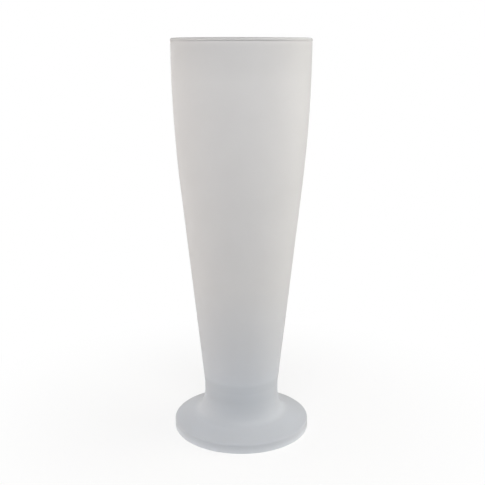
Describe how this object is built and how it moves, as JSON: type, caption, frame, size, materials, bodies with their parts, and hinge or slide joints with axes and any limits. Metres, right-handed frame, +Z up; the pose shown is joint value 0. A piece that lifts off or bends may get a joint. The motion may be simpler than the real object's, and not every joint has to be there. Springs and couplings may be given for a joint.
{
  "type": "tulip glass",
  "caption": "Tall frosted beer glass: blown bowl that widens from a short solid neck to an upright lip, fused to a thick round pressed foot.",
  "frame": {"origin": "on the table plane, under the middle of the foot", "axes": "+Z up along the axis of the glass, towards the lip; the glass is round, so X and Y are free"},
  "size_m": [0.078, 0.078, 0.222],
  "materials": {
    "bowl_glass": "etched, even satin frost",
    "foot_glass": "etched satin frost over thick solid glass"
  },
  "bodies": {
    "root": {"bowl": "bowl_glass", "foot": "foot_glass"}
  },
  "joints": []
}
